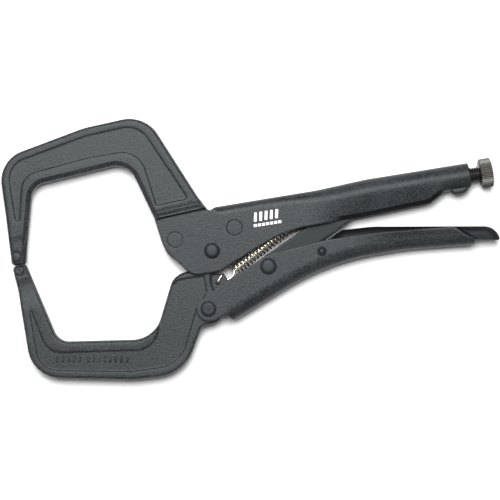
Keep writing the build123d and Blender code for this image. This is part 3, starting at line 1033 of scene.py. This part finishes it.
# %% Fold the lower handle
WEB_LINE = ((-19.2, -48.2, 0.0), (38.7, -24.4, 140.0), (84.0, -24.2, 150.0), (120.8, -27.4, 0.0))
LOWER_FRONT = (
    (121.1, -25.3, 0.8), (111.0, -16.4, 6.0), (72.0, -12.4, 90.0), (40.0, -11.5, 60.0),
    (6.0, -14.5, 14.0), (-19.2, -25.1, 60.0), (-41.2, -36.5, 6.5), (-36.0, -46.0, 6.5),
    (-29.0, -46.0, 2.0), (-25.2, -44.4, 2.0), (-22.0, -44.4, 2.0),
)
LOWER_LEAN = 1.5
WIDE_BEND = 6.9
NARROWING = 1.3
channel_outline = rounded(WEB_LINE + LOWER_FRONT)
web_line = rounded(WEB_LINE, closed=False)
open_edge = rounded(LOWER_FRONT[:4] + ((22.0, -12.8, 0.0),), closed=False)


def web_bend(x):
    return WIDE_BEND - NARROWING * ramp(x, 50.0, 90.0)


def lower_handle_height(points):
    x = points[:, 0]
    lean_in = LOWER_LEAN * np.tanh(LEAN / LOWER_LEAN * distance(points, open_edge, closed=False))
    level = OUTSIDE - lean_in * ramp(x, 50.0, 80.0)
    return level - fall(distance(points, web_line, closed=False), web_bend(x))


cuts = channel_outline[~on_line(channel_outline, web_line)]
rings = bend_rings(web_line[::-1], web_bend) + [ring(channel_outline, s) for s in (0.9, 2.0)]
flat, faces = fill([channel_outline], clear_of_cuts(rings, cuts), 2.6, 0.2)
skin = weld(*both_sides(flat, faces, lower_handle_height(flat), lambda p: on_line(p, web_line)))
shell = thicken(skin, even(SHEET))
make_piece("lower_handle_shell", [shell], HANDLE_COAT, "lower_grip", ["lower_handle"])

# %% [markdown]
# ## The release lever and the toggle link
# The lever is a small channel of thin sheet, its web on top, hinged inside the lower handle. The link is a
# flat bar from the lower handle to the screw's tip. Its edges are only broken, because it is stamped.

# %% Fold the release lever
LEVER_HALF = half_width("release_lever")
LEVER_SHEET = 1.4
LEVER_BEND = 4.1
LEVER_BEVEL = 0.3
LEVER_TOP = ((134.9, -19.0, 9.0), (66.4, -8.3, 60.0), (49.0, -7.45, 1.2), (30.4, -16.4, 2.0))
LEVER_UNDER = (
    (30.4, -22.0, 3.8), (40.0, -21.6, 20.0), (100.0, -20.7, 30.0), (121.6, -24.5, 8.0),
    (135.8, -26.9, 0.8),
)
lever_outline = rounded(LEVER_TOP + LEVER_UNDER)
LEVER_ENDS = ((135.75, -26.3, 0.0), (32.5, -15.4, 0.0))
lever_line = rounded(LEVER_ENDS[:1] + LEVER_TOP[:-1] + LEVER_ENDS[1:], closed=False)
lever_pin = centre("release_lever_pin")


def lever_height(points):
    return LEVER_HALF - fall(distance(points, lever_line, closed=False), LEVER_BEND)


def lever_painted_shade(points):
    """Painted shade: full where the web hides between the handle's sides, and under the handle's end."""
    along = ramp(points[:, 0], 122.0, 108.0)
    web = 0.8 * (0.35 + 0.65 * along) * ramp(distance(points, lever_line[::4], closed=False), 4.2, 2.2)
    handle_end = ramp(distance(points, open_edge[::2], closed=False), 2.4, 1.2)
    return np.maximum(web, handle_end * (points[:, 0] > 104.0))


cuts = lever_outline[~on_line(lever_outline, lever_line)]
pin_hole = circle(lever_pin, 2.1, 24)
rings = bend_rings(lever_line[::-1], even(LEVER_BEND)) + [ring(lever_outline, s) for s in (0.7, 1.6)]
rings = clear_of_cuts(rings, np.vstack([cuts, pin_hole]), 0.6)
flat, faces = fill([lever_outline, pin_hole], rings, 2.2, 0.2)
skin = weld(*both_sides(flat, faces, lever_height(flat), lambda p: on_line(p, lever_line)))
shell = thicken(skin, even(LEVER_SHEET), even(LEVER_BEVEL))
piece = make_piece("release_lever_shell", [shell], LEVER_COAT, "release", ["release_lever"])
# Paint shade on the lever's web and under the handle's end, which lie in shadow.
add_painted_shade(piece, lever_painted_shade)

# %% Stamp the toggle link
LINK_HALF = half_width("toggle_link")
LINK_TURN = math.radians(25.75)
LINK_CORNERS = (
    (-5.75, -5.75, 5.65), (50.0, -5.75, 30.0), (78.9, -3.6, 3.5),
    (78.9, 3.6, 3.5), (50.0, 5.75, 30.0), (-5.75, 5.75, 5.65),
)
link_pivot = centre("link_pivot_rivet")
c, s = math.cos(LINK_TURN), math.sin(LINK_TURN)
at_x, at_y = link_pivot[:2]
corners = [(at_x + x * c - y * s, at_y + x * s + y * c, r) for x, y, r in LINK_CORNERS]
link = small_plate(corners, LINK_HALF, 0.5, [circle(link_pivot, HOLE_R)], 1.0, 2.6)
make_piece("toggle_link_bar", [link], LINK_COAT, "link", ["toggle_link"])

# %% [markdown]
# ## The rivets
# Domed heads stand 2 mm proud over a short straight side, which shows as a dark ring. The two rivets that
# hold the jaw in its cheeks are ground flush, so that only a thin line is left round them. All are turned on
# a lathe: a half section spun about the rivet's axis.

# %% Turn the rivets
HEAD_CREASE = 50.0


def arc(start, end, bulge, count=7):
    """Points along an arc from start to end; bulge is its height over the chord, to the left."""
    start, end = np.array(start, float), np.array(end, float)
    chord = end - start
    side = np.array((-chord[1], chord[0])) / np.linalg.norm(chord)
    shares = np.linspace(0, 1, count)[1:-1]
    return [tuple(start + chord * t + side * bulge * 4 * t * (1 - t)) for t in shares]


def both_heads(head):
    """A whole rivet section from the half over the middle plane, pole last."""
    return [(r, -h) for r, h in reversed(head)] + list(head)


def domed_head(radius, top, dot=0.0):
    """From the cheek up the head's side, over the dome to the pole."""
    rim = (radius - 0.12, OUTSIDE + 0.75)
    crown = (radius * 0.40, top - 0.06 - dot)
    head = [(radius - 0.9, OUTSIDE - 1.5), (radius - 0.05, OUTSIDE - 0.1), (radius, OUTSIDE + 0.5), rim]
    head += arc(rim, crown, -0.42) + [crown, (radius * 0.2, top - 0.01 - dot)]
    if dot:
        head += [(0.75, top - dot), (0.62, top - 0.05), (0.4, top)]
    return head + [(0.0, top)]


DOMED = (
    ("jaw_pivot_rivet", "frame", 4.4, 0.0), ("handle_pivot_rivet", "lower_grip", 4.4, 0.3),
    ("link_pivot_rivet", "lower_grip", 4.6, 0.0),
)
for node, body, radius, dot in DOMED:
    head = domed_head(radius, MIDDLE, dot)
    shape = turned(both_heads(head), centre(node))
    make_piece(node + "_head", [shape], RIVET_COAT, body, [node], HEAD_CREASE)

pin_top = half_width("release_lever_pin")
pin_head = [(2.0, OUTSIDE - 1.5), (2.66, OUTSIDE - 0.1), (2.7, OUTSIDE + 0.45), (2.55, OUTSIDE + 0.7)]
pin_head += [(2.3, OUTSIDE + 0.75), (2.05, OUTSIDE + 0.45), (1.8, OUTSIDE + 0.3), (1.68, OUTSIDE + 0.55)]
pin_head += arc(pin_head[-1], (0.5, pin_top - 0.03), -0.2) + [(0.5, pin_top - 0.03), (0.0, pin_top)]
shape = turned(both_heads(pin_head), lever_pin, segments=40)
pin = ["release_lever_pin"]
make_piece("release_pin_head", [shape], RIVET_COAT, "lower_grip", pin, HEAD_CREASE)

for node in ("front_jaw_rivet", "rear_jaw_rivet"):
    top = half_width(node)
    flush = [(FLUSH_R - 0.06, OUTSIDE - 2.0), (FLUSH_R - 0.04, top - 0.2), (FLUSH_R - 0.1, top - 0.06)]
    flush += [(FLUSH_R - 0.25, top - 0.02), (FLUSH_R - 1.2, top - 0.01), (0.0, top)]
    shape = turned(both_heads(flush), centre(node))
    make_piece(node + "_flush", [shape], HANDLE_COAT, "frame", [node], HEAD_CREASE)

# %% [markdown]
# ## What repeats: thread, knurl, coil and ribs
# A thread, a knurl, a spring's turns and a row of ribs are one small shape placed many times by a rule,
# which is what Geometry Nodes are for. Each recipe takes its sizes by name and becomes a plain mesh.

# %% A recipe and how to grow it
class Recipe(Board):
    """A geometry node tree with named sizes in mm or counts."""

    def __init__(self, name, sizes):
        tree = bpy.data.node_groups.new(name, "GeometryNodeTree")
        super().__init__(tree)
        tree.interface.new_socket("Geometry", in_out="OUTPUT", socket_type="NodeSocketGeometry")
        for size, kind in sizes.items():
            tree.interface.new_socket(size, in_out="INPUT", socket_type=kind)
        entry = tree.nodes.new("NodeGroupInput")
        self.size = {name: Wire(self, entry.outputs[name]) for name in sizes}
        self.exit = tree.nodes.new("NodeGroupOutput")

    def end(self, shape, material):
        """Realize, give the material and hand out the result."""
        real = self.node("GeometryNodeRealizeInstances", None, {"Geometry": shape})
        inputs = {"Geometry": real, "Material": material}
        done = self.node("GeometryNodeSetMaterial", None, inputs)
        self.feed(self.exit.inputs[0], done)


def grow(name, recipe, sizes, origin, axes):
    """Evaluate a recipe, and set it in mm at origin with its own X, Y and Z along the given axes."""
    holder = bpy.data.objects.new(name, bpy.data.meshes.new(name + "_seed"))
    scene.collection.objects.link(holder)
    modifier = holder.modifiers.new("recipe", "NODES")
    modifier.node_group = recipe.tree
    for item in recipe.tree.interface.items_tree:
        if item.in_out == "INPUT":
            modifier[item.identifier] = sizes[item.name]
    evaluated = holder.evaluated_get(bpy.context.evaluated_depsgraph_get())
    mesh = bpy.data.meshes.new_from_object(evaluated)
    holder.modifiers.clear()
    points = np.empty(len(mesh.vertices) * 3)
    mesh.vertices.foreach_get("co", points)
    points = points.reshape(-1, 3) @ np.array(axes, float) + np.array(origin)
    mesh.vertices.foreach_set("co", (points * MM).ravel())
    holder.data = mesh
    mesh.update()
    print(f"{name}: grew {len(mesh.polygons)} faces")
    return holder


FLOAT, WHOLE = "NodeSocketFloat", "NodeSocketInt"
ALONG_SCREW = ((0, 1, 0), (0, 0, 1), (1, 0, 0))
print("recipes are ready")

# %% The thread recipe
def winding(name, profile_points, material):
    """A wire or ridge wound into a helix about Z."""
    sizes = {"Radius": FLOAT, "Turns": FLOAT, "Length": FLOAT, "Thickness": FLOAT, "Points a turn": WHOLE}
    recipe = Recipe(name, sizes)
    size = recipe.size
    inputs = {"Resolution": size["Points a turn"], "Rotations": size["Turns"], "Height": size["Length"]}
    inputs |= {"Start Radius": size["Radius"], "End Radius": size["Radius"]}
    helix = recipe.node("GeometryNodeCurveSpiral", None, inputs)
    helix = recipe.node("GeometryNodeSetCurveNormal", {"mode": "Z_UP"}, {"Curve": helix})
    inputs = {"Resolution": profile_points, "Radius": size["Thickness"]}
    profile = recipe.node("GeometryNodeCurvePrimitiveCircle", None, inputs)
    turned_out = {"Geometry": profile, "Rotation": (0, 0, math.pi)}
    profile = recipe.node("GeometryNodeTransform", None, turned_out)
    swept = {"Curve": helix, "Profile Curve": profile, "Fill Caps": True}
    recipe.end(recipe.node("GeometryNodeCurveToMesh", None, swept), material)
    return recipe


thread_recipe = winding("thread_ridge", 3, SCREW_COAT)
coil_recipe = winding("spring_coil", 10, SPRING_WIRE)
print("winding recipes:", thread_recipe.tree.name, coil_recipe.tree.name)

# %% [markdown]
# ## The adjusting screw and its knob
# The screw is a plain core with a sharp ridge wound round it, which is how a thread looks once it is cut.
# The knob has a straight knurl: small square bars, corner outwards, all round a darker rim.

# %% Cut the screw
KNOB_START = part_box("screw_knob")[0].x / MM
KNOB_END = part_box("screw_knob")[1].x / MM
SCREW_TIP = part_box("adjusting_screw")[0].x / MM
PITCH = 1.25
THREAD_OUT = 4.43
THREAD_SIZE = 0.64
CORE_R = THREAD_OUT - 1.5 * THREAD_SIZE + 0.1
STUB_R = 3.0
screw_axis = (0, SCREW_Y, MIDDLE)
thread_length = KNOB_START - SCREW_TIP - 1.6
sizes = {
    "Radius": THREAD_OUT - THREAD_SIZE, "Turns": thread_length / PITCH, "Length": thread_length,
    "Thickness": THREAD_SIZE, "Points a turn": 24,
}
thread = grow("screw_thread_ridge", thread_recipe, sizes, (SCREW_TIP + 1.0, SCREW_Y, MIDDLE), ALONG_SCREW)
hand_over(thread, "screw")
core = [
    (0.0, SCREW_TIP), (2.4, SCREW_TIP), (CORE_R, SCREW_TIP + 1.2), (CORE_R, KNOB_START - 0.6),
    (STUB_R, KNOB_START - 0.05), (STUB_R, KNOB_END - 0.25), (STUB_R - 0.25, KNOB_END), (0.0, KNOB_END),
]
core_shape = turned(core, screw_axis, "x", 48)
make_piece("screw_core", [core_shape], SCREW_COAT, "screw", ["adjusting_screw"])

# %% The knurl recipe and the knob
KNOB_R = half_width("screw_knob")
RIDGES = 44
RIDGE = 0.42
KNOB_CORNER = 0.35
sizes = {"Count": WHOLE, "Radius": FLOAT, "Length": FLOAT, "Ridge": FLOAT}
knurl = Recipe("straight_knurl", sizes)
rim = {"Resolution": knurl.size["Count"], "Radius": knurl.size["Radius"]}
rim_points = knurl.node("GeometryNodeCurvePrimitiveCircle", None, rim)
bar = {"Vertices": 4, "Radius": knurl.size["Ridge"], "Depth": knurl.size["Length"]}
bar = knurl.node("GeometryNodeMeshCylinder", None, bar)
turn = knurl.node("GeometryNodeInputIndex") * (2 * math.pi / RIDGES)
turn = knurl.node("ShaderNodeCombineXYZ", None, {"Z": turn})
turn = knurl.node("FunctionNodeEulerToRotation", None, {"Euler": turn})
placed = {"Points": rim_points, "Instance": bar, "Rotation": turn}
knurl.end(knurl.node("GeometryNodeInstanceOnPoints", None, placed), KNOB_COAT)

knob_middle = ((KNOB_START + KNOB_END) / 2, SCREW_Y, MIDDLE)
ridge_length = KNOB_END - KNOB_START - 2 * KNOB_CORNER
sizes = {"Count": RIDGES, "Radius": KNOB_R - RIDGE, "Length": ridge_length, "Ridge": RIDGE}
ridges = grow("knob_knurl", knurl, sizes, knob_middle, ALONG_SCREW)
hand_over(ridges, "knob")
WALL_R = KNOB_R - 0.6
BORE_R = STUB_R + 0.06
knob = [
    (BORE_R, KNOB_START + 0.05), (WALL_R - 0.3, KNOB_START + 0.05), (WALL_R, KNOB_START + KNOB_CORNER),
    (WALL_R, KNOB_END - KNOB_CORNER), (WALL_R - 0.3, KNOB_END), (BORE_R + 0.3, KNOB_END),
    (BORE_R, KNOB_END - 0.3),
]
knob_shape = turned(knob + knob[:1], screw_axis, "x", 64)
bmesh.ops.remove_doubles(knob_shape, verts=knob_shape.verts[:], dist=1e-6)
bmesh.ops.recalc_face_normals(knob_shape, faces=knob_shape.faces[:])
make_piece("knob_body", [knob_shape], SCREW_COAT, "knob", ["screw_knob"])

# %% [markdown]
# ## The return spring
# A pull spring joins the lug on the lower jaw to a tongue inside the upper handle. Its turns are a helix,
# and each end leaves the coil as a hook that goes through a hole.

# %% Wind the spring
WIRE_R = 0.55
COIL_R = 3.0
COIL_START = 12.0
spring_run = TONGUE_HOLE - SPRING_HOLE
SPRING_LENGTH = np.linalg.norm(spring_run)
COIL_END = SPRING_LENGTH - 6.0
COIL_TURNS = 17
ALONG = spring_run / SPRING_LENGTH
SPRING_AXES = ((-ALONG[1], ALONG[0], 0), (0, 0, 1), (ALONG[0], ALONG[1], 0))


def spring_place(along, across, up):
    """A place in mm, from a distance along the spring, one across it in plan, and a height."""
    return np.array((across, up, along)) @ np.array(SPRING_AXES) + (*SPRING_HOLE, MIDDLE)


sizes = {
    "Radius": COIL_R, "Turns": float(COIL_TURNS), "Length": COIL_END - COIL_START,
    "Thickness": WIRE_R, "Points a turn": 28,
}
coil = grow("return_spring_coil", coil_recipe, sizes, spring_place(COIL_START, 0, 0), SPRING_AXES)

FRONT_HOOK = (
    (12.02, 3.0, 0.2), (11.95, 2.9, -1.0), (11.8, 2.0, -2.4), (11.7, 0.2, -2.9), (11.0, -1.3, -2.7),
    (9.0, -2.2, -2.5), (6.4, -2.3, -2.4), (3.8, -1.3, -2.35), (1.2, -0.2, -2.3), (-0.2, 0.0, -2.2),
    (-0.3, 0.0, 0.0), (-0.2, 0.1, 2.2), (1.2, 0.5, 2.4), (2.8, 1.4, 2.4), (4.8, 2.0, 2.3),
)
REAR_HOOK = (
    (COIL_END - 0.02, 3.0, -0.2), (COIL_END + 0.05, 2.9, 1.0), (COIL_END + 0.5, 1.6, 2.3),
    (COIL_END + 2.0, 0.2, 2.2), (COIL_END + 4.6, 0.0, 2.1), (SPRING_LENGTH + 0.3, 0.0, 2.0),
    (SPRING_LENGTH + 0.3, 0.0, -2.0), (SPRING_LENGTH - 0.8, 0.0, -2.1), (SPRING_LENGTH - 2.6, 0.0, -2.0),
)


def bent_wire(name, route):
    """A round wire along a smooth route, as a mesh in metres."""
    curve = bpy.data.curves.new(name, "CURVE")
    curve.dimensions = "3D"
    curve.bevel_depth = WIRE_R * MM
    curve.bevel_resolution = 3
    curve.use_fill_caps = True
    curve.resolution_u = 6
    spline = curve.splines.new("NURBS")
    spline.points.add(len(route) - 1)
    for point, place in zip(spline.points, route):
        point.co = (*(spring_place(*place) * MM), 1)
    spline.order_u = 3
    spline.use_endpoint_u = True
    holder = bpy.data.objects.new(name, curve)
    mesh = bpy.data.meshes.new_from_object(holder)
    bpy.data.objects.remove(holder)
    shape = bmesh.new()
    shape.from_mesh(mesh)
    bmesh.ops.remove_doubles(shape, verts=shape.verts[:], dist=1e-6)
    return shape


coil_shape = bmesh.new()
coil_shape.from_mesh(coil.data)
bpy.data.objects.remove(coil)
hooks = [bent_wire("front_hook", FRONT_HOOK), bent_wire("rear_hook", REAR_HOOK)]
spring = join("return_spring_wire", [coil_shape, *hooks], SPRING_WIRE)
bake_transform(spring)
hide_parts("return_spring")
print(f"spring: {COIL_TURNS} turns at {(COIL_END - COIL_START) / COIL_TURNS:.2f} mm")

# %% [markdown]
# ## Plain marks
# The cheek carries a small mark in white ink, and the lower jaw a row of raised ribs in its pocket. Both are
# plain bars without any lettering, set in a row by one recipe.

# %% The row recipe
BAR_SIZES = {"Count": WHOLE}
BAR_SIZES |= {size: FLOAT for size in ("Spacing", "Width", "Height", "Thickness", "Slant", "Top")}


def row_of_bars(name, material):
    """Upright bars in a row along X, each a flat-topped frustum."""
    recipe = Recipe(name, BAR_SIZES)
    size = recipe.size
    offset = recipe.node("ShaderNodeCombineXYZ", None, {"X": size["Spacing"]})
    line = {"Count": size["Count"], "Offset": offset}
    line = recipe.node("GeometryNodeMeshLine", None, line)
    bar = {"Vertices": 4, "Radius Top": size["Top"], "Radius Bottom": 1.0, "Depth": size["Thickness"]}
    bar = recipe.node("GeometryNodeMeshCone", None, bar)
    square = {"Geometry": bar, "Rotation": (0, 0, math.pi / 4), "Scale": (math.sqrt(0.5),) * 2 + (1.0,)}
    bar = recipe.node("GeometryNodeTransform", None, square)
    turn = recipe.node("ShaderNodeCombineXYZ", None, {"Z": size["Slant"]})
    turn = recipe.node("FunctionNodeEulerToRotation", None, {"Euler": turn})
    scale = {"X": size["Width"], "Y": size["Height"], "Z": 1.0}
    scale = recipe.node("ShaderNodeCombineXYZ", None, scale)
    placed = {"Points": line, "Instance": bar, "Rotation": turn, "Scale": scale}
    recipe.end(recipe.node("GeometryNodeInstanceOnPoints", None, placed), material)
    return recipe


ink_row = row_of_bars("ink_bars", WHITE_INK)
rib_row = row_of_bars("forged_ribs", JAW_COAT)
print("row recipes:", ink_row.tree.name, rib_row.tree.name)

# %% Print the mark and raise the ribs
STRAIGHT = ((1, 0, 0), (0, 1, 0), (0, 0, 1))
MARK_Z = MIDDLE + OUTSIDE
INK = {"Thickness": 0.06, "Top": 1.0}
BARS = INK | {"Count": 5, "Spacing": 3.0, "Width": 1.5, "Height": 5.0, "Slant": -0.2}
DASHES = INK | {"Count": 7, "Spacing": 2.3, "Width": 1.7, "Height": 1.5, "Slant": 0.0}
for name, sizes, x, y in (("ink_mark_bars", BARS, 2.0, 7.3), ("ink_mark_dashes", DASHES, 1.2, 2.6)):
    mark = grow(name, ink_row, sizes, (x, y, MARK_Z), STRAIGHT)
    hand_over(mark, "frame")

RIB_FLOOR = MIDDLE + LOWER_HALF - POCKET_DEPTH
RIB_AXES = ((math.cos(TURN), -math.sin(TURN), 0), (math.sin(TURN), math.cos(TURN), 0), (0, 0, 1))
RIB = {"Spacing": 3.1, "Width": 1.3, "Height": 3.2, "Thickness": 0.55, "Slant": -0.12, "Top": 0.55}
rib_start = np.array((-120.0, -53.9, RIB_FLOOR + 0.05))
for name, count, offset in (("short", 5, 0.0), ("long", 8, 17.2)):
    place = rib_start + offset * np.array(RIB_AXES[0])
    ribs = grow(f"jaw_ribs_{name}", rib_row, RIB | {"Count": count}, place, RIB_AXES)
    hand_over(ribs, "moving_jaw")
